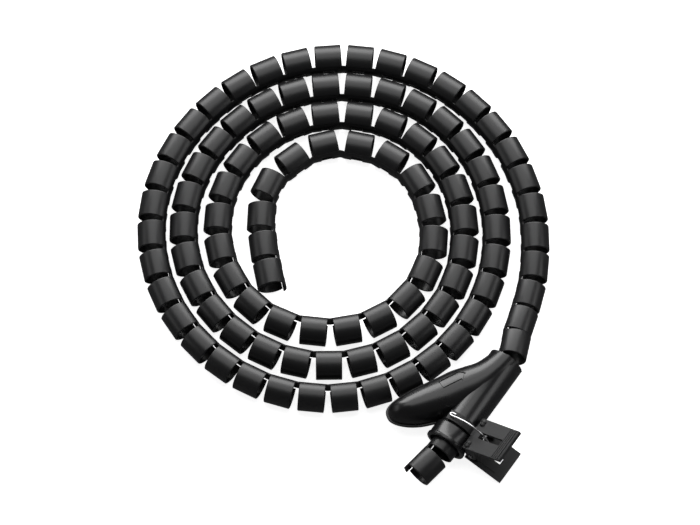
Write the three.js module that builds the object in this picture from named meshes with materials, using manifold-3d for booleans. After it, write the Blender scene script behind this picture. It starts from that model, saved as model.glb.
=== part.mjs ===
// A coil of slotted plastic cable wrap, its outer end threaded through a two-branch fitting tool,
// with a sprung clip holding the tool's straight branch. Millimetres, +Z up, lying on z = 0.

import * as THREE from 'three';
import { mergeVertices } from 'three/addons/utils/BufferGeometryUtils.js';
import Module from 'manifold-3d';

const wasm = await Module();
wasm.setup();

// Wrap: a tube cut into C-shaped rings that stay joined by tongues along one side.
const tubeDiameter = 20;
const wallThickness = 1.1;
const ringLength = 17.8;
const slotWidth = 2;
const tongueLength = 12.5;
const endStubLength = 2.4;
const routeSamples = 24000;
const routePastBranch = [6, -10];
const routeInCollar = [14, 1];
const freeEndBend = -11;
const freeEndReach = -27.5;
const freeEndDrift = new THREE.Vector3(-3.2, 2.3, -1.2);
const freeEndBendDrift = 0.3;

// Angles round the tube, in degrees: 0 faces out of the coil, 90 is up and 180 faces the coil's middle.
const tongueTopAngle = 141;
const windowTopAngle = 165;
const tongueMiddleAngle = 190.5;
const tongueBottomAngle = 216;
const ringFreeEdgeAngle = 222;
const ringFacetAngles = [270, 300, 330, 360, 390, 420, 450];

// Route of the tube's axis, in tube diameters from the middle of the coil.
const innerLead = [
  [-2.12, -1.9], [-2.21, -1.47], [-2.4, -0.43], [-2.475, 0.69], [-2.224, 1.815], [-1.44, 2.68],
  [-0.357, 3.24], [0.783, 3.22], [1.77, 2.85], [2.62, 2.14], [3.13, 1.11], [3.32, 0],
];
const spiralStepRadii = 8;
const spiralRadii = [
  3.32, 3.36, 3.48, 3.75, 3.945, 4.135, 4.345, 4.43, 4.37, 4.47, 4.7, 4.88, 5.11, 5.19,
  5.38, 5.48, 5.46, 5.59, 5.88, 6.02, 6.2, 6.24, 6.42, 6.56, 6.76,
];
const spiralStepsPerRadius = 3;
// Each third number is the rise off the floor.
const outerLead = [[6.7, -1.5, 0], [6.47, -2.55, 0.02], [6.15, -3.62, 0.12]];

// Fitting tool: a straight branch that the wrap runs through and a hollow shoe open underneath.
const toolWall = 1.8;
const boreClearance = 0.7;
const collarDiameter = 28;
const collarLength = 12;
const lipDiameter = 29.2;
const lipLength = 2.5;
const collarBoreStep = 1.2;
const stepLength = 2;
const branchLength = 74;
const branchHeading = 55.4;
const collarEnd = [3.7, -7.69];
const shoeHeight = 28.4;
const shoeRim = 12;
const shoeShoulder = 14.6;
const shoeCrownAngle = 80;
const shoeLevels = 6;
const shoeSpine = [[74, 0], [64, 1.2], [54, 4.4], [44, 9.8], [34, 16.2], [24, 22.4], [8, 33.5]];
const shoeOutline = [
  [74, 10.4], [62, 14.6], [54, 20.2], [46, 26], [37, 30.8], [22, 39], [12.5, 43.2], [4, 46], [-1.5, 45.4],
  [-4.8, 41], [-4.6, 36], [-1.8, 29.5], [3, 22.6], [9, 16.8], [15, 11.5], [22, 5.5], [32, 0], [44, -6],
  [74, -11],
];
const flangeReach = 1.5;
const flangeHeight = 2.2;
const sideWindow = { from: [26, 6, -2.6], to: [62, 12.4, 7] };

// Clip: two levers on a pin, held together by a C-shaped wire spring round the outside of the jaws.
const clipGap = 0.35;
const jawClearance = 0.45;
const clipStation = 15.4;
const clipTilt = 6;
const jawWidth = 7;
const jawOffset = 1.5;
const jawThickness = 1.6;
const jawRootAngle = 20;
const jawSteps = 8;
const upperJawTipAngle = 119;
const lowerJawTipAngle = 100;
const leverWidth = 25;
const leverThickness = 2.4;
const upperLeverLength = 35.8;
const lowerLeverLength = 29.7;
const upperLeverAngle = 28;
const lowerLeverAngle = 19;
const leverHeel = [14, 6];
const jawRootBlock = [[11.9, 5], [14, 4.4], [17.5, 7.2], [15.5, 9], [12.4, 8.2]];
const upperSlot = { near: 7, far: 27.4, breadth: 5 };
const lowerSlot = { near: 7, far: 22.3, breadth: 5 };
const pivotDistance = 19;
const pinDiameter = 3;
const pinSides = 16;
const pinOverhang = 0.7;
const earRadius = 4;
const earThickness = 2;
const earSteps = 8;
const wireDiameter = 1.6;
const wireOffset = 0.8;
const wireSides = 8;
const wireSteps = 36;
const wireLowerRootAngle = 44;
const wireLowerTipAngle = 62;
const wireLowerSteps = 2;
const wireUpperPath = [[-4.9, 15.2], [2, 17], [8.7, 18.1], [15, 16.6], [20.2, 13.4], [23.4, 9.4], [25.2, 5]];
const wireLowerPath = [[26, 0], [26.2, -5], [25.8, -10], [24, -13.2], [20.6, -12.9], [16.6, -11.4]];

const degrees = Math.PI / 180;
const outerRadius = tubeDiameter / 2;
const innerRadius = outerRadius - wallThickness;

function material(color, roughness, metalness) {
  return new THREE.MeshStandardMaterial({ color, roughness, metalness });
}

function solid(geometry) {
  const bare = geometry.clone();
  bare.deleteAttribute('normal');
  bare.deleteAttribute('uv');
  const merged = mergeVertices(bare, 1e-5);
  const corners = [];
  for (let i = 0; i < merged.index.count; i += 3) {
    const [a, b, c] = merged.index.array.slice(i, i + 3);
    if (a !== b && b !== c && c !== a) {
      corners.push(a, b, c);
    }
  }
  return new wasm.Manifold(new wasm.Mesh({
    numProp: 3,
    vertProperties: new Float32Array(merged.attributes.position.array),
    triVerts: new Uint32Array(corners),
  }));
}

// The triangles of a joined or cut piece, with those of one flat face merged.
function meshOf(manifold) {
  return manifold.asOriginal().simplify(1e-4).getMesh();
}

function geometryOf(manifold) {
  const mesh = meshOf(manifold);
  const geometry = new THREE.BufferGeometry();
  geometry.setAttribute('position', new THREE.BufferAttribute(mesh.vertProperties, 3));
  geometry.setIndex(new THREE.BufferAttribute(mesh.triVerts, 1));
  geometry.computeVertexNormals();
  return geometry;
}

function join(pieces) {
  return pieces.reduce((sum, piece) => sum.add(piece));
}

// A wall of constant thickness that follows the given angles round the axis.
function sectorShape(angles, outside, inside) {
  const at = (radius) => (angle) => new THREE.Vector2(
    radius * Math.cos(angle * degrees), radius * Math.sin(angle * degrees));
  return new THREE.Shape([...angles.map(at(outside)), ...[...angles].reverse().map(at(inside))]);
}

// An extrusion whose two ends lie exactly at the given heights.
function slab(shape, from, to) {
  const geometry = new THREE.ExtrudeGeometry(shape, { depth: 1, bevelEnabled: false });
  const position = geometry.attributes.position;
  for (let i = 0; i < position.count; i += 1) {
    position.setZ(i, position.getZ(i) > 0.5 ? to : from);
  }
  return geometry;
}

function arcAngles(from, to, steps) {
  return Array.from({ length: steps + 1 }, (_, i) => from + (to - from) * i / steps);
}

// Route of the wrap's axis, from the inner mouth to the end beyond the tool.
const toolAxisHeight = lipDiameter / 2;
const branchDirection = new THREE.Vector3(
  Math.cos(branchHeading * degrees), Math.sin(branchHeading * degrees), 0);
const collarEndPoint = new THREE.Vector3(
  collarEnd[0] * tubeDiameter, collarEnd[1] * tubeDiameter, toolAxisHeight);

function alongBranch(distance) {
  return collarEndPoint.clone().addScaledVector(branchDirection, distance);
}

function onFloor([x, y, rise = 0]) {
  return new THREE.Vector3(x * tubeDiameter, y * tubeDiameter, outerRadius + rise * tubeDiameter);
}

function spiralPoints() {
  const profile = new THREE.SplineCurve(spiralRadii.map((r, i) => new THREE.Vector2(i, r)));
  const count = (spiralRadii.length - 1) * spiralStepsPerRadius;
  return Array.from({ length: count }, (_, i) => {
    const { x: step, y: radius } = profile.getPoint((i + 1) / count);
    const angle = -step * 2 * Math.PI / spiralStepRadii;
    return onFloor([radius * Math.cos(angle), radius * Math.sin(angle)]);
  });
}

const route = new THREE.CatmullRomCurve3([
  ...innerLead.map(onFloor),
  ...spiralPoints(),
  ...outerLead.map(onFloor),
  ...routePastBranch.map((reach) => alongBranch(branchLength + reach)),
  alongBranch(branchLength / 2),
  ...routeInCollar.map(alongBranch),
  alongBranch(freeEndBend).addScaledVector(freeEndDrift, freeEndBendDrift),
  alongBranch(freeEndReach).add(freeEndDrift),
], false, 'centripetal');

// Rings are spaced evenly along the joined side, which stays at one length as the tube bends.
function ringFrames() {
  const points = route.getPoints(routeSamples);
  const framesAlong = points.map((centre, i) => {
    const before = points[Math.max(i - 1, 0)];
    const after = points[Math.min(i + 1, routeSamples)];
    const along = after.clone().sub(before).normalize();
    const out = new THREE.Vector3(-along.y, along.x, 0).normalize();
    return { centre, along, out, up: new THREE.Vector3().crossVectors(along, out) };
  });
  const joined = framesAlong.map(({ centre, out }) => centre.clone().addScaledVector(out, -outerRadius));
  const travelled = [0];
  for (let i = 1; i <= routeSamples; i += 1) {
    travelled.push(travelled[i - 1] + joined[i].distanceTo(joined[i - 1]));
  }
  const spread = travelled[routeSamples] - ringLength;
  const count = Math.round(spread / (ringLength + slotWidth)) + 1;
  const pitch = spread / (count - 1);
  const frames = Array.from({ length: count }, (_, ring) => {
    const target = Math.min(ringLength / 2 + ring * pitch, travelled[routeSamples]);
    return framesAlong[travelled.findIndex((distance) => distance >= target)];
  });
  return { frames, pitch };
}

// One ring with half of each tongue, along its own axis.
function ringModule(halfPitch) {
  const halfRing = ringLength / 2;
  const halfWindow = halfPitch - tongueLength / 2;
  const tongueAngles = [tongueTopAngle, windowTopAngle, tongueMiddleAngle, tongueBottomAngle];
  const fullAngles = [ringFreeEdgeAngle, ...ringFacetAngles, ...tongueAngles.map((angle) => angle + 360)];
  const ringAngles = fullAngles.slice(0, -2);
  const section = (angles) => sectorShape(angles, outerRadius, innerRadius);
  const pieces = [slab(section(ringAngles), -halfWindow, halfWindow)];
  for (const [near, far, tip] of [[-halfWindow, -halfRing, -halfPitch], [halfWindow, halfRing, halfPitch]]) {
    pieces.push(slab(section(fullAngles), Math.min(near, far), Math.max(near, far)));
    pieces.push(slab(section(tongueAngles), Math.min(far, tip), Math.max(far, tip)));
  }
  return meshOf(join(pieces.map(solid)));
}

function wrapGeometry() {
  const { frames, pitch } = ringFrames();
  const halfPitch = pitch / 2;
  const module = ringModule(halfPitch);
  const place = (frame, x, y, z) => frame.centre.clone()
    .addScaledVector(frame.out, x)
    .addScaledVector(frame.up, y)
    .addScaledVector(frame.along, z);
  const atTip = (v, side) => Math.abs(module.vertProperties[3 * v + 2] - side * halfPitch) < 0.01;
  const positions = [];
  frames.forEach((frame, ring) => {
    const local = (v) => module.vertProperties.slice(3 * v, 3 * v + 3);
    const placed = (v) => {
      const [x, y, z] = local(v);
      const side = [-1, 1].find((s) => atTip(v, s));
      if (!side) {
        return place(frame, x, y, z);
      }
      const neighbour = frames[ring + side];
      if (!neighbour) {
        return place(frame, x, y, side * (ringLength / 2 + endStubLength));
      }
      const [first, second] = side > 0 ? [frame, neighbour] : [neighbour, frame];
      return place(first, x, y, halfPitch).add(place(second, x, y, -halfPitch)).multiplyScalar(0.5);
    };
    for (let t = 0; t < module.triVerts.length; t += 3) {
      const corners = [...module.triVerts.slice(t, t + 3)];
      const shared = [-1, 1].some((side) => frames[ring + side] && corners.every((v) => atTip(v, side)));
      if (!shared) {
        corners.forEach((v) => positions.push(...placed(v).toArray()));
      }
    }
  });
  const geometry = new THREE.BufferGeometry();
  geometry.setAttribute('position', new THREE.Float32BufferAttribute(positions, 3));
  return mergeVertices(geometry, 1e-3);
}

// The tool lies along its own x axis, collar end at the origin, with the shoe on its +y side.
const branchBoreRadius = outerRadius + boreClearance;
const branchRadius = branchBoreRadius + toolWall;
const roundSides = 32;
const cutMargin = 1;  // how far a cutting shape runs past the face that it cuts

function turnedAlongX(profile) {
  const geometry = new THREE.LatheGeometry(profile.map(([x, r]) => new THREE.Vector2(r, x)), roundSides);
  return geometry.rotateZ(-Math.PI / 2);
}

// The nearest place to a point on the line that the shoe's crown follows.
function spineFoot(point) {
  const feet = shoeSpine.slice(1).map((end, i) => new THREE.Line3(
    new THREE.Vector3(...shoeSpine[i], 0), new THREE.Vector3(...end, 0),
  ).closestPointToPoint(point, true, new THREE.Vector3()));
  return feet.reduce((best, foot) => (foot.distanceTo(point) < best.distanceTo(point) ? foot : best));
}

// The shoe's outline draws in towards its spine above the shoulder, as a dome.
function shoeSolid(inset, base) {
  const outline = new THREE.Shape(shoeOutline.map(([x, y]) => new THREE.Vector2(x, y)));
  const geometry = new THREE.ExtrudeGeometry(outline, { depth: 1, steps: shoeLevels, bevelEnabled: false });
  const position = geometry.attributes.position;
  for (let i = 0; i < position.count; i += 1) {
    const level = Math.round(position.getZ(i) * shoeLevels);
    const swing = Math.max(level - 1, 0) / (shoeLevels - 1) * shoeCrownAngle * degrees;
    const rise = Math.sin(swing) / Math.sin(shoeCrownAngle * degrees);
    const top = shoeHeight - inset;
    const height = level === 0 ? base : shoeShoulder + (top - shoeShoulder) * rise;
    const point = new THREE.Vector3(position.getX(i), position.getY(i), 0);
    const foot = spineFoot(point);
    const reach = point.distanceTo(foot);
    const scale = (1 - inset / reach) * Math.cos(swing);
    point.sub(foot).multiplyScalar(scale).add(foot);
    position.setXYZ(i, point.x, point.y, height - toolAxisHeight);
  }
  return geometry;
}

function flangeSolid() {
  const points = shoeOutline.map(([x, y]) => {
    const point = new THREE.Vector3(x, y, 0);
    const away = point.clone().sub(spineFoot(point)).setLength(flangeReach);
    return new THREE.Vector2(x + away.x, y + away.y);
  });
  const low = shoeRim - toolAxisHeight;
  return slab(new THREE.Shape(points), low, low + flangeHeight);
}

function boxSolid({ from, to }) {
  const size = to.map((value, axis) => value - from[axis]);
  const middle = to.map((value, axis) => (value + from[axis]) / 2);
  return solid(new THREE.BoxGeometry(...size).translate(...middle));
}

function toolGeometry() {
  const outside = solid(turnedAlongX([
    [0, 0], [0, lipDiameter / 2], [lipLength, lipDiameter / 2], [lipLength, collarDiameter / 2],
    [collarLength, collarDiameter / 2], [collarLength + stepLength / 2, branchRadius],
    [branchLength, branchRadius], [branchLength, 0],
  ]));
  const collarBoreRadius = branchBoreRadius + collarBoreStep;
  const bore = solid(turnedAlongX([
    [-cutMargin, 0], [-cutMargin, collarBoreRadius], [collarLength, collarBoreRadius],
    [collarLength + stepLength, branchBoreRadius], [branchLength + cutMargin, branchBoreRadius],
    [branchLength + cutMargin, 0],
  ]));
  const shoe = solid(shoeSolid(0, shoeRim));
  const hollow = solid(shoeSolid(toolWall, shoeRim - cutMargin));
  const shell = shoe.add(solid(flangeSolid())).subtract(hollow).add(outside);
  return geometryOf(shell.subtract(bore).subtract(boxSolid(sideWindow)));
}

// The clip's own frame: x out from the branch's axis towards the handles, y along the branch, z up.
const jawInnerRadius = branchRadius + jawClearance;
const jawOuterRadius = jawInnerRadius + jawThickness;
const wireArcRadius = jawOuterRadius + jawClearance + wireDiameter / 2;

function acrossBranch(shape, width, middle = 0) {
  return solid(slab(shape, -middle - width / 2, -middle + width / 2).rotateX(Math.PI / 2));
}

function pinShape(diameter, length) {
  const radius = diameter / 2;
  return new THREE.CylinderGeometry(radius, radius, length, pinSides).translate(pivotDistance, 0, 0);
}

function earShape(side, leverAngle) {
  const slope = Math.tan(leverAngle * degrees);
  const plateAt = (x) => leverHeel[1] + leverThickness / 2 + (x - leverHeel[0]) * slope;
  const near = pivotDistance - earRadius;
  const far = pivotDistance + earRadius;
  const round = arcAngles(180, 360, earSteps).map((angle) => [
    pivotDistance + earRadius * Math.cos(angle * degrees), earRadius * Math.sin(angle * degrees)]);
  const points = [...round, [far, plateAt(far)], [near, plateAt(near)]];
  return new THREE.Shape(points.map(([x, z]) => new THREE.Vector2(x, side * z)));
}

// A lever seen from its end: side 1 is the upper one and side -1 the lower one.
function leverGeometry({ side, leverAngle, leverLength, tipAngle, earMiddle, leverSlot }) {
  const along = new THREE.Vector2(Math.cos(leverAngle * degrees), Math.sin(leverAngle * degrees));
  const normal = new THREE.Vector2(-along.y, along.x);
  const platePoint = (distance, height) => new THREE.Vector2(...leverHeel)
    .addScaledVector(along, distance)
    .addScaledVector(normal, height);
  const flat = (points) => new THREE.Shape(points.map((p) => new THREE.Vector2(p.x, side * p.y)));
  const strip = (from, to, low, high) => flat([
    platePoint(from, low), platePoint(to, low), platePoint(to, high), platePoint(from, high)]);
  const jawAngles = arcAngles(side * jawRootAngle, side * tipAngle, jawSteps);
  const pieces = [
    acrossBranch(strip(0, leverLength, 0, leverThickness), leverWidth),
    acrossBranch(sectorShape(jawAngles, jawOuterRadius, jawInnerRadius), jawWidth, jawOffset),
    acrossBranch(flat(jawRootBlock.map((p) => new THREE.Vector2(...p))), jawWidth, jawOffset),
    acrossBranch(earShape(side, leverAngle), earThickness, earMiddle),
    acrossBranch(earShape(side, leverAngle), earThickness, -earMiddle),
  ];
  const slotShape = strip(leverSlot.near, leverSlot.far, -cutMargin, leverThickness + cutMargin);
  const slot = acrossBranch(slotShape, leverSlot.breadth);
  const pinHole = solid(pinShape(pinDiameter + 2 * clipGap, leverWidth + 2 * cutMargin));
  return geometryOf(join(pieces).subtract(slot).subtract(pinHole));
}

function wireGeometry() {
  const lowerArc = arcAngles(-wireLowerRootAngle, -wireLowerTipAngle, wireLowerSteps).map((angle) => [
    wireArcRadius * Math.cos(angle * degrees), wireArcRadius * Math.sin(angle * degrees)]);
  const points = [...wireUpperPath, ...wireLowerPath, ...lowerArc];
  const path = new THREE.CatmullRomCurve3(points.map(([x, z]) => new THREE.Vector3(x, wireOffset, z)));
  const sectionAngles = arcAngles(0, 360, wireSides).slice(0, -1);
  const section = new THREE.Shape(sectionAngles.map((angle) => new THREE.Vector2(
    wireDiameter / 2 * Math.cos(angle * degrees), wireDiameter / 2 * Math.sin(angle * degrees))));
  return new THREE.ExtrudeGeometry(section, { steps: wireSteps, extrudePath: path, bevelEnabled: false });
}

const group = new THREE.Group();
const blackPlastic = () => material(0x1b1b1c, 0.45, 0);

const wrap = new THREE.Mesh(wrapGeometry(), blackPlastic());
wrap.name = 'wrap';
group.add(wrap);

const tool = new THREE.Group();
tool.position.copy(collarEndPoint);
tool.rotation.z = branchHeading * degrees;
group.add(tool);

const toolBody = new THREE.Mesh(toolGeometry(), material(0x151516, 0.25, 0));
toolBody.name = 'applicator_tool';
tool.add(toolBody);

const clip = new THREE.Group();
clip.position.x = clipStation;
clip.rotation.set(0, -clipTilt * degrees, -Math.PI / 2, 'ZYX');
tool.add(clip);

const outerEarMiddle = leverWidth / 2 - earThickness / 2;
const innerEarMiddle = outerEarMiddle - earThickness - clipGap;
const clipParts = {
  clip_lever_upper: new THREE.Mesh(leverGeometry({
    side: 1,
    leverAngle: upperLeverAngle,
    leverLength: upperLeverLength,
    tipAngle: upperJawTipAngle,
    earMiddle: outerEarMiddle,
    leverSlot: upperSlot,
  }), material(0x2c2c2d, 0.55, 0)),
  clip_lever_lower: new THREE.Mesh(leverGeometry({
    side: -1,
    leverAngle: lowerLeverAngle,
    leverLength: lowerLeverLength,
    tipAngle: lowerJawTipAngle,
    earMiddle: innerEarMiddle,
    leverSlot: lowerSlot,
  }), material(0x232324, 0.55, 0)),
  clip_pin: new THREE.Mesh(
    pinShape(pinDiameter, leverWidth + 2 * pinOverhang), material(0xb9bbbd, 0.3, 1)),
  clip_spring: new THREE.Mesh(wireGeometry(), material(0xd4d6d8, 0.25, 1)),
};
for (const [name, mesh] of Object.entries(clipParts)) {
  mesh.name = name;
  clip.add(mesh);
}

// The frame's origin is on the floor under the middle of the whole part.
group.updateMatrixWorld(true);
const bounds = new THREE.Box3().setFromObject(group, true);
const middle = bounds.getCenter(new THREE.Vector3());
group.position.set(-middle.x, -middle.y, -bounds.min.z);

export default group;
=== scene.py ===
"""A coil of slotted plastic cable wrap with its fitting tool and clip, on a pale floor. Metres, +Z up."""
import math

import bmesh
import bpy
import numpy as np
from mathutils import Matrix, Vector


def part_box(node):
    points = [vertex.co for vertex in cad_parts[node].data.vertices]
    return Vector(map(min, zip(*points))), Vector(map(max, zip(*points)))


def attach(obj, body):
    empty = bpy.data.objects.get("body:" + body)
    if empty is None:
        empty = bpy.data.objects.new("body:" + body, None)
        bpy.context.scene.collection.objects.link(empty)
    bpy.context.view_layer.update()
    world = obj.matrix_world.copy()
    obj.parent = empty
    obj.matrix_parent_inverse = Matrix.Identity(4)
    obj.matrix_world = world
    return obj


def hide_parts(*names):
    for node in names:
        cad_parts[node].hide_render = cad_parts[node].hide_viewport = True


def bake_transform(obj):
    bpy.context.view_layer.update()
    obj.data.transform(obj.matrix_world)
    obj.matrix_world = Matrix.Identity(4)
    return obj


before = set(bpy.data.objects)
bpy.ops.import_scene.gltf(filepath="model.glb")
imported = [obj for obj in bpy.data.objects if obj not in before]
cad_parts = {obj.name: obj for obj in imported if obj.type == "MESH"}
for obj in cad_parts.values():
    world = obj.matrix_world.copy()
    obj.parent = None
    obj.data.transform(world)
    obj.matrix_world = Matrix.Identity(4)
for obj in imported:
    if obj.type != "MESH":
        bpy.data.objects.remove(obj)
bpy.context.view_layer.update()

MM = 0.001
WELD_DISTANCE = 1e-4
ROOT = "coil_and_tool"
UPPER = "upper_lever"

# Wrap: a tube cut into C-shaped rings that stay joined by tongues along one side.
# Lengths in millimetres. Angles in degrees round the tube: 0 faces out of the coil and 90 up, and a
# ring's own angles rise from its free edge, under and round the tube, to the joined side.
TUBE = 20.0
WALL = 1.1
RING = 17.8
SLOT = 2.0
TONGUE = 12.5
END_STUB = 2.4
ROUTE_SAMPLES = 24000
TONGUE_TOP = 141 + 360
WINDOW_TOP = 165 + 360
TONGUE_MIDDLE = 190.5 + 360
TONGUE_BOTTOM = 216 + 360
FREE_EDGE = 222
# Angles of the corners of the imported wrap's section.
CAD_FACETS = [FREE_EDGE, *range(270, 451, 30), TONGUE_TOP, WINDOW_TOP, TONGUE_MIDDLE, TONGUE_BOTTOM]
SPINE_DEPTH = 0.35
SPINE_STEP = 0.5
OUTER_ROUNDING = 0.45
INNER_ROUNDING = 0.2
# How far from an edge the grid has its extra lines, for the rounding.
EDGE_STEPS = (0.26, 0.62)
ARC_STEPS = 30
UPPER_STEPS = 2
TONGUE_STEPS = 4

# Route of the tube's axis, in tube diameters from the middle of the coil.
INNER_LEAD = [
    (-2.12, -1.9), (-2.21, -1.47), (-2.4, -0.43), (-2.475, 0.69), (-2.224, 1.815), (-1.44, 2.68),
    (-0.357, 3.24), (0.783, 3.22), (1.77, 2.85), (2.62, 2.14), (3.13, 1.11), (3.32, 0),
]
# Radii of the spiral, evenly spaced in angle, from the east side and clockwise.
SPIRAL_RADII_PER_TURN = 8
SPIRAL_RADII = [
    3.32, 3.36, 3.48, 3.75, 3.945, 4.135, 4.345, 4.43, 4.37, 4.47, 4.7, 4.88, 5.11, 5.19,
    5.38, 5.48, 5.46, 5.59, 5.88, 6.02, 6.2, 6.24, 6.42, 6.56, 6.76,
]
SPIRAL_STEPS_PER_RADIUS = 3
OUTER_LEAD = [(6.7, -1.5, 0), (6.47, -2.55, 0.02), (6.15, -3.62, 0.12)]

# Route through the tool and past it, in millimetres along the branch from the collar's end.
ROUTE_PAST_BRANCH = (6, -10)
ROUTE_IN_COLLAR = (14, 1)
FREE_END_BEND = -11
FREE_END_BEND_DRIFT = 0.3
FREE_END_REACH = -27.5
FREE_END_DRIFT = np.array([-3.2, 2.3, -1.2])

# Fitting tool, along its own x axis from the collar's end, with the shoe on its +y side.
TOOL_WALL = 1.8
BORE_RADIUS = TUBE / 2 + 0.7
BRANCH_RADIUS = BORE_RADIUS + TOOL_WALL
COLLAR_RADIUS = 14.0
COLLAR_LENGTH = 12.0
LIP_RADIUS = 14.6
LIP_LENGTH = 2.5
BORE_STEP = 1.2
BRANCH_LENGTH = 74.0
BRANCH_HEADING = math.radians(55.4)
# The collar's end, in tube diameters from the middle of the coil.
COLLAR_END = (3.7, -7.69)
SHOE_HEIGHT = 28.4
SHOE_RIM = 12.0
SHOE_SHOULDER = 14.6
SHOE_CROWN = math.radians(85)
SHOE_SPINE = [(74, 0), (64, 1.2), (54, 4.4), (44, 9.8), (34, 16.2), (24, 22.4), (8, 33.5)]
SHOE_OUTLINE = [
    (74, 10.4), (62, 14.6), (54, 20.2), (46, 26), (37, 30.8), (22, 39), (12.5, 43.2), (4, 46), (-1.5, 45.4),
    (-4.8, 41), (-4.6, 36), (-1.8, 29.5), (3, 22.6), (9, 16.8), (15, 11.5), (22, 5.5), (32, 0), (44, -6),
    (74, -11),
]
FLANGE_REACH = 1.5
FLANGE_HEIGHT = 2.2
# Section of the bead round the shoe: shares of its reach, and heights in halves of its own.
FLANGE_RIM = [(0, 0), (0.72, 0), (0.93, 0.25), (1, 0.6), (1, 1.4), (0.93, 1.75), (0.72, 2), (0, 2)]
# Lowest and highest corner of the opening between the shoe and the bore.
SIDE_WINDOW = ((26, 6, -2.6), (62, 12.4, 7))
STUD_PLACE = (12.1, 16.2)
STUD_RADIUS = 2.0
STUD_RISE = 0.7
ROUND_EDGE = 0.5
SMALL_EDGE = 0.15
OUTLINE_STEPS = 5
DOME_LEVELS = 16
BRANCH_SIDES = 96
STUD_SIDES = 32
SHARP_ANGLE = 32

# Arrow on the shoe's crown, in the tool's frame.
ARROW_TIP = (47.7, 15.5)
ARROW_BACK = (-0.889, 0.457)
ARROW_HEAD = 5.6
ARROW_BARB = 5.3
ARROW_SHAFT = 19.6
ARROW_HALF = 3.4
ARROW_LINE = 0.8
ARROW_TIP_MITRE = 1.9
ARROW_BARB_MITRE = 1.5
ARROW_DEPTH = 0.7
ARROW_BAND_LOW = 2

# Clip, in its own frame: x out from the branch's axis to the handles, y along the branch, z up.
JAW_CLEARANCE = 0.45
CLIP_STATION = 15.4
CLIP_TILT = math.radians(6)
JAW_THICKNESS = 1.6
LEVER_WIDTH = 25.0
LEVER_THICKNESS = 2.4
UPPER_LEVER_LENGTH = 35.8
LOWER_LEVER_LENGTH = 29.7
UPPER_LEVER_ANGLE = 28
LOWER_LEVER_ANGLE = 19
LEVER_HEEL = (14.0, 6.0)
WIRE_DIAMETER = 1.6
WIRE_SLIMMING = 0.3
WIRE_OFFSET = 0.8
# The wire: a hook on the upper jaw, with y from the wire's own line, then x and z over the jaw, down
# through the slots of both plates and back to the lower jaw, which it follows by angles.
WIRE_HOOK = [(-2.0, 2.0, 15.1), (-4.6, 1.75, 14.8), (-5.5, 0.95, 14.8)]
WIRE_UPPER_PATH = [(-4.9, 15.2), (2, 17), (8.7, 18.1), (15, 16.6), (20.2, 13.4), (23.4, 9.4), (25.2, 5)]
WIRE_LOWER_PATH = [(26, 0), (26.2, -5), (25.8, -10), (24, -13.2), (20.6, -12.9), (16.6, -11.4)]
WIRE_LOWER_ANGLES = (-44, -53, -62)
WIRE_STEPS = 170
WIRE_SIDES = 16
WIRE_TIP_STEPS = (0.15, 0.5, 0.85)
WIRE_TIP_REACH = 0.6
RIDGE_WIDTH = 0.8
RIDGE_EDGE = 0.18
RIDGE_ROOT = 0.3
# Ridges and ribs across the upper plate, by distance from its outer end; a ridge also has its rise.
RIDGES = [(1.3, 0.3), (2.9, 0.6)]
RIDGE_INSET = 0.2
RIBS = [4.9, 6.5, 8.1]
RIB_RISE = 0.4
RIB_INSET = 0.6
BARREL_RADIUS = 2.3
BARREL_LENGTH = 4.4
BARREL_INSET = 3.4
BARREL_PLACE = (3.2, -0.7)
BARREL_GROOVE = ((0.5, 0), (0.3, -0.4))
BARREL_SIDES = 40
# Rib along the lower plate: its span from the two ends, its place across, and its rise.
LOWER_RIB = ((3, -7), (3.2, 3.8), 0.3)
# Rounding of the clip's own edges: its width, and the least angle of an edge that gets it.
LEVER_SOFTENING = (0.25, 40)
PIN_SOFTENING = (0.3, 50)


# ---- camera, light and floor

CAMERA_ELEVATION = math.radians(69)
CAMERA_DISTANCE = 8.0
SENSOR_WIDTH = 36
VIEW_WIDTH = 0.4746
VIEW_TARGET = Vector((0.0045, 0.0014, 0.010))
AMBIENT = 0.08
FLOOR_HALF = 6.0
SOFTBOXES = [
    ("light_back", (0.0, 1.6, 0.8), 3.0, 1.3, 5.6),
    ("light_top", (0.0, 0.62, 1.75), 2.0, 1.6, 1.8),
    ("light_left", (-1.7, 0.1, 0.75), 1.6, 0.7, 1.05),
    ("light_right", (1.7, -0.1, 0.9), 1.4, 0.6, 2.2),
]


def set_camera():
    camera = bpy.data.objects.new("camera", bpy.data.cameras.new("camera"))
    bpy.context.scene.collection.objects.link(camera)
    towards = Vector((0, -math.cos(CAMERA_ELEVATION), math.sin(CAMERA_ELEVATION)))
    camera.location = VIEW_TARGET + CAMERA_DISTANCE * towards
    camera.rotation_euler = (math.pi / 2 - CAMERA_ELEVATION, 0, 0)
    camera.data.sensor_width = SENSOR_WIDTH
    camera.data.lens = SENSOR_WIDTH * CAMERA_DISTANCE / VIEW_WIDTH
    camera.data.clip_end = 20
    bpy.context.scene.camera = camera


def softbox(name, centre, width, height, radiance):
    """A soft rectangular light that faces the object and that the camera doesn't see."""
    light = bpy.data.lights.new(name, "AREA")
    light.shape = "RECTANGLE"
    light.size = width
    light.size_y = height
    light.energy = radiance * math.pi * width * height
    piece = bpy.data.objects.new(name, light)
    bpy.context.scene.collection.objects.link(piece)
    piece.location = centre
    piece.rotation_euler = (-Vector(centre)).to_track_quat("-Z", "Y").to_euler()
    piece.visible_camera = False


def set_light():
    world = bpy.data.worlds.new("studio")
    bpy.context.scene.world = world
    world.use_nodes = True
    background = world.node_tree.nodes["Background"]
    background.inputs["Color"].default_value = (1, 1, 1, 1)
    background.inputs["Strength"].default_value = AMBIENT
    for box in SOFTBOXES:
        softbox(*box)
    bpy.context.scene.view_settings.view_transform = "Standard"


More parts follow.
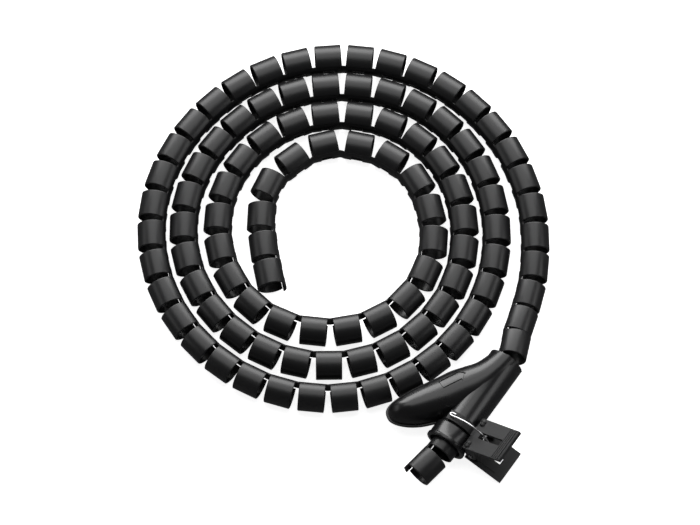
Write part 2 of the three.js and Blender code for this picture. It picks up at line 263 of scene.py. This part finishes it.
def set_floor():
    mesh = bpy.data.meshes.new("floor")
    corners = [(x * FLOOR_HALF, y * FLOOR_HALF, 0) for x, y in ((-1, -1), (1, -1), (1, 1), (-1, 1))]
    mesh.from_pydata(corners, [], [(0, 1, 2, 3)])
    floor = bpy.data.objects.new("floor", mesh)
    bpy.context.scene.collection.objects.link(floor)
    stuff = bpy.data.materials.new("floor")
    stuff.use_nodes = True
    shader = stuff.node_tree.nodes["Principled BSDF"]
    shader.inputs["Base Color"].default_value = (0.9, 0.9, 0.9, 1)
    shader.inputs["Emission Color"].default_value = (1, 1, 1, 1)
    shader.inputs["Emission Strength"].default_value = 0.85
    shader.inputs["Roughness"].default_value = 0.9
    shader.inputs["Specular IOR Level"].default_value = 0.0
    mesh.materials.append(stuff)
    floor.visible_glossy = False


# ---- materials

GLOSS_SCALE = 35
GLOSS_DETAIL = 3
TINT_DARKER = 0.8
TINT_LIGHTER = 1.25
GRAIN_DETAIL = 2
GRAIN_DEPTH = 0.0001
WIRE_MARKS_SCALE = 700
WIRE_ROUGHNESS = (0.16, 0.34)
WIRE_TONES = ((0.5, 0.5, 0.51, 1), (0.75, 0.75, 0.76, 1))


def plastic(name, color, *, roughness, spread, specular, grain, bump):
    """Moulded plastic: a slow change of gloss and a fine surface grain."""
    stuff = bpy.data.materials.new(name)
    stuff.use_nodes = True
    tree = stuff.node_tree
    shader = tree.nodes["Principled BSDF"]
    shader.inputs["Specular IOR Level"].default_value = specular
    coordinates = tree.nodes.new("ShaderNodeTexCoord")
    slow = tree.nodes.new("ShaderNodeTexNoise")
    slow.inputs["Scale"].default_value = GLOSS_SCALE
    slow.inputs["Detail"].default_value = GLOSS_DETAIL
    tree.links.new(coordinates.outputs["Object"], slow.inputs["Vector"])
    gloss = tree.nodes.new("ShaderNodeMapRange")
    gloss.inputs["To Min"].default_value = roughness - spread
    gloss.inputs["To Max"].default_value = roughness + spread
    tree.links.new(slow.outputs["Fac"], gloss.inputs["Value"])
    tree.links.new(gloss.outputs["Result"], shader.inputs["Roughness"])
    tint = tree.nodes.new("ShaderNodeValToRGB")
    tint.color_ramp.elements[0].color = (*[TINT_DARKER * v for v in color], 1)
    tint.color_ramp.elements[1].color = (*[TINT_LIGHTER * v for v in color], 1)
    tree.links.new(slow.outputs["Fac"], tint.inputs["Fac"])
    tree.links.new(tint.outputs["Color"], shader.inputs["Base Color"])
    fine = tree.nodes.new("ShaderNodeTexNoise")
    fine.inputs["Scale"].default_value = grain
    fine.inputs["Detail"].default_value = GRAIN_DETAIL
    tree.links.new(coordinates.outputs["Object"], fine.inputs["Vector"])
    relief = tree.nodes.new("ShaderNodeBump")
    relief.inputs["Strength"].default_value = bump
    relief.inputs["Distance"].default_value = GRAIN_DEPTH
    tree.links.new(fine.outputs["Fac"], relief.inputs["Height"])
    tree.links.new(relief.outputs["Normal"], shader.inputs["Normal"])
    return stuff


def steel(name):
    """Drawn wire: bright, with faint changes of gloss and tone."""
    stuff = bpy.data.materials.new(name)
    stuff.use_nodes = True
    tree = stuff.node_tree
    shader = tree.nodes["Principled BSDF"]
    shader.inputs["Metallic"].default_value = 1
    coordinates = tree.nodes.new("ShaderNodeTexCoord")
    noise = tree.nodes.new("ShaderNodeTexNoise")
    noise.inputs["Scale"].default_value = WIRE_MARKS_SCALE
    tree.links.new(coordinates.outputs["Object"], noise.inputs["Vector"])
    gloss = tree.nodes.new("ShaderNodeMapRange")
    gloss.inputs["To Min"].default_value = WIRE_ROUGHNESS[0]
    gloss.inputs["To Max"].default_value = WIRE_ROUGHNESS[1]
    tree.links.new(noise.outputs["Fac"], gloss.inputs["Value"])
    tree.links.new(gloss.outputs["Result"], shader.inputs["Roughness"])
    tint = tree.nodes.new("ShaderNodeValToRGB")
    tint.color_ramp.elements[0].color = WIRE_TONES[0]
    tint.color_ramp.elements[1].color = WIRE_TONES[1]
    tree.links.new(noise.outputs["Fac"], tint.inputs["Fac"])
    tree.links.new(tint.outputs["Color"], shader.inputs["Base Color"])
    return stuff


# ---- the wrap's route

def uniform_spline(values, t):
    """A point of a uniform Catmull-Rom spline with doubled ends."""
    last = len(values) - 1
    p = last * t
    i = min(int(p), last)
    w = p - i
    p0, p1 = values[max(i - 1, 0)], values[i]
    p2, p3 = values[min(i + 1, last)], values[min(i + 2, last)]
    v0, v1 = (p2 - p0) / 2, (p3 - p1) / 2
    return (2 * p1 - 2 * p2 + v0 + v1) * w ** 3 + (-3 * p1 + 3 * p2 - 2 * v0 - v1) * w ** 2 + v0 * w + p1


def centripetal_curve(points, samples):
    """Evenly stepped points of a centripetal Catmull-Rom curve."""
    points = np.asarray(points, dtype=float)
    before = 2 * points[0] - points[1]
    after = 2 * points[-1] - points[-2]
    padded = np.vstack([before, points, after])
    position = np.linspace(0, len(points) - 1, samples + 1)
    i = np.minimum(position.astype(int), len(points) - 2)
    w = (position - i)[:, None]
    x0, x1, x2, x3 = (padded[i + k] for k in range(4))
    d0, d1, d2 = (np.linalg.norm(b - a, axis=1)[:, None] ** 0.5 for a, b in ((x0, x1), (x1, x2), (x2, x3)))
    t1 = ((x1 - x0) / d0 - (x2 - x0) / (d0 + d1) + (x2 - x1) / d1) * d1
    t2 = ((x2 - x1) / d1 - (x3 - x1) / (d1 + d2) + (x3 - x2) / d2) * d1
    return x1 + t1 * w + (-3 * x1 + 3 * x2 - 2 * t1 - t2) * w ** 2 + (2 * x1 - 2 * x2 + t1 + t2) * w ** 3


def on_floor(point):
    """A point of the route in millimetres, for a tube that lies on the floor or is raised above it."""
    x, y, rise = (*point, 0)[:3]
    return np.array([x * TUBE, y * TUBE, TUBE / 2 + rise * TUBE])


def spiral_points():
    profile = [np.array([step, radius]) for step, radius in enumerate(SPIRAL_RADII)]
    count = (len(SPIRAL_RADII) - 1) * SPIRAL_STEPS_PER_RADIUS
    points = []
    for i in range(count):
        step, radius = uniform_spline(profile, (i + 1) / count)
        angle = -step * 2 * math.pi / SPIRAL_RADII_PER_TURN
        points.append(on_floor((radius * math.cos(angle), radius * math.sin(angle))))
    return points


collar_end = np.array([COLLAR_END[0] * TUBE, COLLAR_END[1] * TUBE, LIP_RADIUS])
branch_direction = np.array([math.cos(BRANCH_HEADING), math.sin(BRANCH_HEADING), 0])


def along_branch(distance):
    return collar_end + distance * branch_direction


def ring_frames():
    """Each ring's centre and its out, up and along axes, spaced evenly along the joined side."""
    points = centripetal_curve([
        *[on_floor(p) for p in INNER_LEAD], *spiral_points(), *[on_floor(p) for p in OUTER_LEAD],
        *[along_branch(BRANCH_LENGTH + past) for past in ROUTE_PAST_BRANCH], along_branch(BRANCH_LENGTH / 2),
        *[along_branch(distance) for distance in ROUTE_IN_COLLAR],
        along_branch(FREE_END_BEND) + FREE_END_BEND_DRIFT * FREE_END_DRIFT,
        along_branch(FREE_END_REACH) + FREE_END_DRIFT,
    ], ROUTE_SAMPLES)
    index = np.arange(ROUTE_SAMPLES + 1)
    along = points[np.minimum(index + 1, ROUTE_SAMPLES)] - points[np.maximum(index - 1, 0)]
    along /= np.linalg.norm(along, axis=1)[:, None]
    out = np.stack([-along[:, 1], along[:, 0], np.zeros(len(along))], axis=1)
    out /= np.linalg.norm(out, axis=1)[:, None]
    up = np.cross(along, out)
    joined = points - out * TUBE / 2
    travelled = np.concatenate([[0], np.cumsum(np.linalg.norm(np.diff(joined, axis=0), axis=1))])
    spread = travelled[-1] - RING
    count = round(spread / (RING + SLOT)) + 1
    pitch = spread / (count - 1)
    targets = np.minimum(RING / 2 + np.arange(count) * pitch, travelled[-1])
    chosen = np.searchsorted(travelled, targets)
    return [(points[i], out[i], up[i], along[i]) for i in chosen], pitch


def place(ring, x, y, z):
    """A point given along a ring's own out, up and along axes."""
    centre, out, up, along = ring
    return centre + out * x + up * y + along * z


def at_angle(radius, angle):
    return radius * math.cos(math.radians(angle)), radius * math.sin(math.radians(angle))


rings, pitch = ring_frames()


def row_shift():
    """From the route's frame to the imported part's, found from the wrap's lowest corner in both."""
    corners = [place(ring, *at_angle(TUBE / 2, angle), side * RING / 2)
               for ring in rings for side in (-1, 1) for angle in CAD_FACETS]
    return np.array(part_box("wrap")[0]) / MM - np.array(corners).min(axis=0)


shift = row_shift()


def mesh_object(name, points, faces, stuff, smooth=True):
    mesh = bpy.data.meshes.new(name)
    mesh.from_pydata([tuple(p) for p in points], [], faces)
    mesh.validate()
    mesh.materials.append(stuff)
    if smooth:
        mesh.polygons.foreach_set("use_smooth", [True] * len(mesh.polygons))
    piece = bpy.data.objects.new(name, mesh)
    bpy.context.scene.collection.objects.link(piece)
    return piece


def skin(rows, count, flip=False):
    """Faces between rows of count points each, closed at both ends."""
    faces = []
    for low in range(0, (rows - 1) * count, count):
        high = low + count
        for k in range(count):
            after = (k + 1) % count
            faces.append((low + k, low + after, high + after, high + k))
    first = list(range(count))
    last = [(rows - 1) * count + k for k in range(count)]
    return [*faces, first[::-1], last] if flip else [*faces, first, last[::-1]]


def finish_with(piece, stuff):
    """The piece gets this material and no other."""
    piece.data.materials.clear()
    piece.data.materials.append(stuff)


# ---- the wrap

def edge_lines(low, high, steps, unit):
    """Grid lines from low to high, with extra ones beside each rounded edge."""
    near = [low + unit * s for s in EDGE_STEPS]
    far = [high - unit * s for s in reversed(EDGE_STEPS)]
    middle = [near[-1] + (far[0] - near[-1]) * k / steps for k in range(1, steps)]
    return [low, *near, *middle, *far, high]


def segment_distance(point, start, end):
    """How far a point lies from a straight line between two others."""
    p, a, b = np.array(point), np.array(start), np.array(end)
    span = b - a
    t = np.clip(np.dot(p - a, span) / np.dot(span, span), 0, 1)
    return float(np.linalg.norm(p - a - t * span))


def rounding(distance, radius):
    """How far a rounded edge sinks the surface at this distance from it."""
    if distance >= radius:
        return 0.0
    return radius - math.sqrt(radius ** 2 - (radius - distance) ** 2)


def wrap_module(half_pitch):
    """One ring with half of each tongue: its grid lines, its faces, and how far each point sinks."""
    arc = math.pi / 180 * TUBE / 2
    half_ring, half_window = RING / 2, half_pitch - TONGUE / 2
    ring_lines = edge_lines(FREE_EDGE, TONGUE_TOP, ARC_STEPS, 1 / arc)
    upper_lines = edge_lines(TONGUE_TOP, WINDOW_TOP, UPPER_STEPS, 1 / arc)
    lower_lines = edge_lines(WINDOW_TOP, TONGUE_BOTTOM, TONGUE_STEPS, 1 / arc)
    angles = [*ring_lines, *upper_lines[1:], *lower_lines[1:]]
    top_line = len(ring_lines) - 1
    window_line = top_line + len(upper_lines) - 1
    first_fine = top_line - len(EDGE_STEPS)
    side = [half_window, *[half_window + s for s in EDGE_STEPS],
            *[half_ring - s for s in reversed(EDGE_STEPS)], half_ring, half_pitch]
    lengths = [-v for v in reversed(side)] + side
    ends = [half_ring - s for s in (EDGE_STEPS[1], EDGE_STEPS[0], 0)]
    coarse = [lengths.index(v) for v in [-v for v in reversed(ends)] + ends]
    fine = [k for k, v in enumerate(lengths) if abs(v) <= half_ring]
    arms = [[k for k, v in enumerate(lengths) if s * v >= half_window] for s in (-1, 1)]
    whole = list(range(len(lengths)))
    free, top, window, bottom = (arc * a for a in (FREE_EDGE, TONGUE_TOP, WINDOW_TOP, TONGUE_BOTTOM))
    edges = [((free, -half_ring), (free, half_ring)), ((window, -half_window), (window, half_window))]
    for s in (-1, 1):
        edges += [
            ((free, s * half_ring), (top, s * half_ring)),
            ((top, s * half_ring), (top, s * 2 * half_pitch)),
            ((window, s * half_window), (bottom, s * half_window)),
            ((bottom, s * half_window), (bottom, s * 2 * half_pitch)),
        ]

    def strip(i, low, high):
        """Faces between angle lines i and i + 1, for one run of length lines on each."""
        faces = []
        shared = [k for k in low if k in high]
        for a, b in zip(shared, shared[1:]):
            left = [(i, k) for k in low if a <= k <= b]
            right = [(i + 1, k) for k in high if a <= k <= b]
            faces.append([*left, *reversed(right)])
        return faces

    faces = []
    for i in range(len(angles) - 1):
        if i < top_line:
            low = fine if i >= first_fine else coarse
            high = fine if i + 1 >= first_fine else coarse
            faces += strip(i, low, high)
        elif i < window_line:
            faces += strip(i, whole, whole)
        else:
            for arm in arms:
                faces += strip(i, arm, arm)
    keys = sorted({key for face in faces for key in face})
    drop = {}
    for i, k in keys:
        distance = min(segment_distance((arc * angles[i], lengths[k]), a, b) for a, b in edges)
        sunk = SPINE_DEPTH * min(max((arc * angles[i] - top) / SPINE_STEP, 0), 1)
        drop[(i, k)] = (rounding(distance, OUTER_ROUNDING) + sunk, rounding(distance, INNER_ROUNDING))
    return angles, lengths, faces, drop


def build_wrap(stuff):
    half_pitch = pitch / 2
    angles, lengths, module_faces, drop = wrap_module(half_pitch)
    tips = {0: -1, len(lengths) - 1: 1}
    numbers, points, faces = {}, [], []

    def point_number(ring, layer, key):
        i, k = key
        tip = tips.get(k)
        if tip == -1 and ring > 0:
            return point_number(ring - 1, layer, (i, len(lengths) - 1))
        name = (ring, layer, key)
        if name not in numbers:
            radius = TUBE / 2 - drop[key][0] if layer == 0 else TUBE / 2 - WALL + drop[key][1]
            x, y = at_angle(radius, angles[i])
            if tip is None:
                spot = place(rings[ring], x, y, lengths[k])
            elif 0 <= ring + tip < len(rings):
                spot = (place(rings[ring], x, y, half_pitch) + place(rings[ring + 1], x, y, -half_pitch)) / 2
            else:
                spot = place(rings[ring], x, y, tip * (RING / 2 + END_STUB))
            numbers[name] = len(points)
            points.append((spot + shift) * MM)
        return numbers[name]

    uses = {}
    for face in module_faces:
        for a, b in zip(face, face[1:] + face[:1]):
            uses.setdefault(frozenset((a, b)), []).append((a, b))
    borders = [pairs[0] for pairs in uses.values() if len(pairs) == 1]
    for ring in range(len(rings)):
        for face in module_faces:
            faces.append([point_number(ring, 0, key) for key in face])
            faces.append([point_number(ring, 1, key) for key in reversed(face)])
        for a, b in borders:
            tip = tips.get(a[1]) if a[1] == b[1] else None
            if tip and 0 <= ring + tip < len(rings):
                continue
            faces.append([point_number(ring, 0, b), point_number(ring, 0, a),
                          point_number(ring, 1, a), point_number(ring, 1, b)])
    piece = mesh_object("wrap_fine", points, faces, stuff)
    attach(piece, ROOT)
    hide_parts("wrap")


# ---- the fitting tool

tool_frame = Matrix.Translation(Vector((collar_end + shift) * MM)) @ Matrix.Rotation(BRANCH_HEADING, 4, "Z")
clip_frame = tool_frame @ Matrix.Translation((CLIP_STATION * MM, 0, 0)) @ Matrix.Rotation(
    -math.pi / 2, 4, "Z") @ Matrix.Rotation(-CLIP_TILT, 4, "Y")


def solid_object(name, points, faces):
    """A closed solid in millimetres, for cutting and joining."""
    piece = mesh_object(name, points, faces, None, smooth=False)
    net = bmesh.new()
    net.from_mesh(piece.data)
    bmesh.ops.remove_doubles(net, verts=net.verts, dist=WELD_DISTANCE)
    bmesh.ops.recalc_face_normals(net, faces=net.faces)
    net.to_mesh(piece.data)
    net.free()
    return piece


def turned(name, profile, sides=BRANCH_SIDES):
    """A solid turned about the x axis."""
    points = []
    for x, radius in profile:
        for k in range(sides):
            angle = 2 * math.pi * k / sides
            points.append((x, radius * math.cos(angle), radius * math.sin(angle)))
    return solid_object(name, points, skin(len(profile), sides))


def smooth_outline():
    """The shoe's outline drawn as one smooth line."""
    curved = [np.array(p, dtype=float) for p in SHOE_OUTLINE]
    count = (len(curved) - 1) * OUTLINE_STEPS
    return [uniform_spline(curved, i / count) for i in range(count + 1)]


def spine_foot(point):
    """The nearest place on the line that the shoe's crown follows."""
    feet = []
    for start, end in zip(SHOE_SPINE, SHOE_SPINE[1:]):
        a, b = np.array(start, dtype=float), np.array(end, dtype=float)
        feet.append(a + np.clip(np.dot(point - a, b - a) / np.dot(b - a, b - a), 0, 1) * (b - a))
    return min(feet, key=lambda foot: np.linalg.norm(point - foot))


def shoe(name, inset, base):
    """The shoe's dome: its outline draws in towards its spine above the shoulder."""
    outline = smooth_outline()
    points = []
    for level in range(DOME_LEVELS + 1):
        swing = max(level - 1, 0) / (DOME_LEVELS - 1) * SHOE_CROWN
        rise = math.sin(swing) / math.sin(SHOE_CROWN)
        height = base if level == 0 else SHOE_SHOULDER + (SHOE_HEIGHT - inset - SHOE_SHOULDER) * rise
        for point in outline:
            foot = spine_foot(point)
            reach = np.linalg.norm(point - foot)
            x, y = foot + (point - foot) * (1 - inset / reach) * math.cos(swing)
            points.append((x, y, height - LIP_RADIUS))
    return solid_object(name, points, skin(DOME_LEVELS + 1, len(outline), flip=True))


def prism(name, outline, low, high):
    """A straight solid over a flat outline."""
    points = [(x, y, z) for z in (low, high) for x, y in outline]
    return solid_object(name, points, skin(2, len(outline), flip=True))


def flange():
    """The bead round the shoe's lower edge, with a rounded rim."""
    outline = smooth_outline()
    points = []
    for reach, height in FLANGE_RIM:
        for point in outline:
            foot = spine_foot(point)
            away = (point - foot) / np.linalg.norm(point - foot)
            x, y = point + away * FLANGE_REACH * reach
            points.append((x, y, SHOE_RIM + height * FLANGE_HEIGHT / 2 - LIP_RADIUS))
    return solid_object("flange", points, skin(len(FLANGE_RIM), len(outline), flip=True))


def combine(base, other, operation):
    """Joins or cuts base by other, and removes other."""
    step = base.modifiers.new("step", "BOOLEAN")
    step.operation = operation
    step.solver = "EXACT"
    step.object = other
    bpy.context.view_layer.update()
    mesh = bpy.data.meshes.new_from_object(base.evaluated_get(bpy.context.evaluated_depsgraph_get()))
    base.modifiers.clear()
    base.data = mesh
    bpy.data.objects.remove(other)
    return base


def stud():
    """The small round stud where the bead meets the collar."""
    low, high = SHOE_RIM - LIP_RADIUS, SHOE_RIM + FLANGE_HEIGHT + STUD_RISE - LIP_RADIUS
    piece = turned("stud", [
        (low, STUD_RADIUS - 0.3), (low + 0.3, STUD_RADIUS), (high - 0.9, STUD_RADIUS),
        (high - 0.4, 0.85 * STUD_RADIUS), (high - 0.1, 0.5 * STUD_RADIUS), (high, 0.1 * STUD_RADIUS),
    ], STUD_SIDES)
    piece.data.transform(Matrix.Translation((*STUD_PLACE, 0)) @ Matrix.Rotation(-math.pi / 2, 4, "Y"))
    return piece


def arrow_groove():
    """The outline of an arrow that lies on the shoe's crown and points to the branch's far end."""
    back = np.array(ARROW_BACK)
    across = np.array([-back[1], back[0]])
    tip = np.array(ARROW_TIP)

    def outline(grow):
        marks = [
            (-ARROW_TIP_MITRE * grow, 0), (ARROW_HEAD + grow, ARROW_BARB + ARROW_BARB_MITRE * grow),
            (ARROW_HEAD + grow, ARROW_HALF + grow), (ARROW_SHAFT + grow, ARROW_HALF + grow),
        ]
        marks += [(s, -v) for s, v in reversed(marks[1:])]
        return [tip + back * s + across * v for s, v in marks]

    low, high = ARROW_BAND_LOW, SHOE_HEIGHT
    band = prism("arrow_band", outline(0), low, high)
    band = combine(band, prism("arrow_inside", outline(-ARROW_LINE), low - 1, high + 1), "DIFFERENCE")
    return combine(band, shoe("arrow_floor", ARROW_DEPTH, SHOE_RIM), "DIFFERENCE")


def shade_by_angle(piece, degrees):
    mesh = piece.data
    mesh.polygons.foreach_set("use_smooth", [True] * len(mesh.polygons))
    mesh.set_sharp_from_angle(angle=math.radians(degrees))


def build_tool(stuff):
    outside = turned("branch", [
        (0, LIP_RADIUS - ROUND_EDGE), (SMALL_EDGE, LIP_RADIUS - SMALL_EDGE), (ROUND_EDGE, LIP_RADIUS),
        (LIP_LENGTH - ROUND_EDGE, LIP_RADIUS), (LIP_LENGTH, COLLAR_RADIUS + 0.25),
        (LIP_LENGTH + 0.4, COLLAR_RADIUS), (COLLAR_LENGTH - 0.4, COLLAR_RADIUS),
        (COLLAR_LENGTH, COLLAR_RADIUS - 0.3), (COLLAR_LENGTH + 0.8, BRANCH_RADIUS + 0.1),
        (COLLAR_LENGTH + 1.2, BRANCH_RADIUS), (BRANCH_LENGTH - ROUND_EDGE, BRANCH_RADIUS),
        (BRANCH_LENGTH - SMALL_EDGE, BRANCH_RADIUS - SMALL_EDGE), (BRANCH_LENGTH, BRANCH_RADIUS - ROUND_EDGE),
    ])
    wide = BORE_RADIUS + BORE_STEP
    bore = turned("bore", [
        (-1, wide + 0.4), (0.4, wide), (COLLAR_LENGTH, wide), (COLLAR_LENGTH + 2, BORE_RADIUS),
        (BRANCH_LENGTH - 0.4, BORE_RADIUS), (BRANCH_LENGTH + 1, BORE_RADIUS + 0.4),
    ])
    body = shoe("tool_fine", 0, SHOE_RIM)
    combine(body, flange(), "UNION")
    combine(body, stud(), "UNION")
    combine(body, shoe("hollow", TOOL_WALL, SHOE_RIM - 1), "DIFFERENCE")
    combine(body, arrow_groove(), "DIFFERENCE")
    combine(body, outside, "UNION")
    combine(body, bore, "DIFFERENCE")
    (x0, y0, z0), (x1, y1, z1) = SIDE_WINDOW
    combine(body, prism("window", [(x0, y0), (x1, y0), (x1, y1), (x0, y1)], z0, z1), "DIFFERENCE")
    body.data.transform(tool_frame @ Matrix.Scale(MM, 4))
    finish_with(body, stuff)
    shade_by_angle(body, SHARP_ANGLE)
    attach(body, ROOT)
    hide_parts("applicator_tool")


# ---- the clip

def tube(name, path, diameter, stuff, sides=WIRE_SIDES):
    """A round wire along a path in the clip's frame, with rounded ends."""
    points = np.asarray(path, dtype=float)
    steps = np.gradient(points, axis=0)
    steps /= np.linalg.norm(steps, axis=1)[:, None]
    side = np.cross(steps, np.array([0.0, 1.0, 0.02]))
    side /= np.linalg.norm(side, axis=1)[:, None]
    other = np.cross(steps, side)
    radius = diameter / 2

    def tip(i, way):
        """Circles that shrink towards one end of the wire, the smallest first."""
        return [(points[i] - way * steps[i] * radius * WIRE_TIP_REACH * (1 - k), side[i], other[i],
                 radius * math.sqrt(k)) for k in WIRE_TIP_STEPS]

    middle = [(points[i], side[i], other[i], radius) for i in range(len(points))]
    rows = [*tip(0, 1), *middle, *reversed(tip(-1, -1))]
    spots = []
    for centre, u, v, r in rows:
        for k in range(sides):
            angle = 2 * math.pi * k / sides
            spots.append(centre + r * (u * math.cos(angle) + v * math.sin(angle)))
    piece = mesh_object(name, spots, skin(len(rows), sides), stuff)
    piece.data.transform(clip_frame @ Matrix.Scale(MM, 4))
    return piece


def build_spring(stuff):
    radius = BRANCH_RADIUS + 2 * JAW_CLEARANCE + JAW_THICKNESS + WIRE_DIAMETER / 2
    flat = [*WIRE_UPPER_PATH, *WIRE_LOWER_PATH, *[at_angle(radius, angle) for angle in WIRE_LOWER_ANGLES]]
    hook = [(x, WIRE_OFFSET + y, z) for x, y, z in WIRE_HOOK]
    path = centripetal_curve([*hook, *[(x, WIRE_OFFSET, z) for x, z in flat]], WIRE_STEPS)
    piece = tube("spring_fine", path, WIRE_DIAMETER - WIRE_SLIMMING, stuff)
    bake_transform(piece)
    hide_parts("clip_spring")


def plate_point(angle, distance, height, side):
    """A place on a lever's plate, by distance from its heel and height above its inner face."""
    c, s = math.cos(math.radians(angle)), math.sin(math.radians(angle))
    x = LEVER_HEEL[0] + c * distance - s * height
    z = LEVER_HEEL[1] + s * distance + c * height
    return x, side * z


def plate_block(name, lever, span, breadth, rise, stuff, inner=False):
    """A low ridge on a lever's outer or inner face, with softened edges."""
    angle, side, body = lever
    ends = (LEVER_THICKNESS - RIDGE_ROOT, LEVER_THICKNESS + rise / 2, LEVER_THICKNESS + rise)
    if inner:
        ends = (RIDGE_ROOT, -rise / 2, -rise)
    (d0, d1), (y0, y1) = span, breadth
    points = []
    for height, inset in zip(ends, (0, 0, RIDGE_EDGE)):
        for d, y in ((d0 + inset, y0 + inset), (d1 - inset, y0 + inset),
                     (d1 - inset, y1 - inset), (d0 + inset, y1 - inset)):
            x, z = plate_point(angle, d, height, side)
            points.append((x, y, z))
    piece = solid_object(name, points, skin(3, 4, flip=True))
    piece.data.transform(clip_frame @ Matrix.Scale(MM, 4))
    finish_with(piece, stuff)
    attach(piece, body)


def barrel(name, middle, stuff):
    """A short round barrel at the root of the upper plate, with a groove round its middle."""
    half, radius = BARREL_LENGTH / 2, BARREL_RADIUS
    near = [
        (half, radius - ROUND_EDGE), (half - SMALL_EDGE, radius - SMALL_EDGE), (half - ROUND_EDGE, radius),
        *[(x, radius + sunk) for x, sunk in BARREL_GROOVE],
    ]
    piece = turned(name, [*[(-x, r) for x, r in near], *reversed(near)], BARREL_SIDES)
    distance, sunk = BARREL_PLACE
    x, z = plate_point(UPPER_LEVER_ANGLE, distance, LEVER_THICKNESS + sunk, 1)
    lay = Matrix.Translation((x, middle, z)) @ Matrix.Rotation(math.pi / 2, 4, "Z")
    piece.data.transform(clip_frame @ Matrix.Scale(MM, 4) @ lay)
    finish_with(piece, stuff)
    shade_by_angle(piece, SHARP_ANGLE)
    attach(piece, UPPER)


def soften(node, stuff, width, degrees):
    """A CAD node that keeps its shape: it gets its finish and slightly rounded edges."""
    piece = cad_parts[node]
    finish_with(piece, stuff)
    bevel = piece.modifiers.new("bevel", "BEVEL")
    bevel.width = width * MM
    bevel.segments = 2
    bevel.limit_method = "ANGLE"
    bevel.angle_limit = math.radians(degrees)


def build_clip(black, bright):
    soften("clip_lever_upper", black, *LEVER_SOFTENING)
    soften("clip_lever_lower", black, *LEVER_SOFTENING)
    soften("clip_pin", bright, *PIN_SOFTENING)
    build_spring(bright)
    upper = (UPPER_LEVER_ANGLE, 1, UPPER)
    lower = (LOWER_LEVER_ANGLE, -1, ROOT)
    half = LEVER_WIDTH / 2
    raised = [(f"upper_ridge_{k + 1}", back, rise, RIDGE_INSET) for k, (back, rise) in enumerate(RIDGES)]
    raised += [(f"upper_rib_{k + 1}", back, RIB_RISE, RIB_INSET) for k, back in enumerate(RIBS)]
    for name, back, rise, inset in raised:
        start = UPPER_LEVER_LENGTH - back
        plate_block(name, upper, (start, start + RIDGE_WIDTH), (-half + inset, half - inset), rise, black)
    barrel("upper_barrel_1", -half + BARREL_INSET, black)
    barrel("upper_barrel_2", half - BARREL_INSET, black)
    (start, stop), (near, far), rise = LOWER_RIB
    plate_block("lower_rib", lower, (start, LOWER_LEVER_LENGTH + stop), (-half + near, -half + far), rise,
                black, inner=True)


set_camera()
set_light()
set_floor()
wrap_stuff = plastic("wrap_black", (0.006, 0.006, 0.0065),
                     roughness=0.36, spread=0.05, specular=0.5, grain=2500, bump=0.12)
tool_stuff = plastic("tool_black", (0.005, 0.005, 0.0055),
                     roughness=0.28, spread=0.04, specular=0.55, grain=900, bump=0.06)
clip_stuff = plastic("clip_black", (0.012, 0.012, 0.0125),
                     roughness=0.5, spread=0.06, specular=0.32, grain=3000, bump=0.25)
wire_stuff = steel("wire_bright")
build_wrap(wrap_stuff)
build_tool(tool_stuff)
build_clip(clip_stuff, wire_stuff)
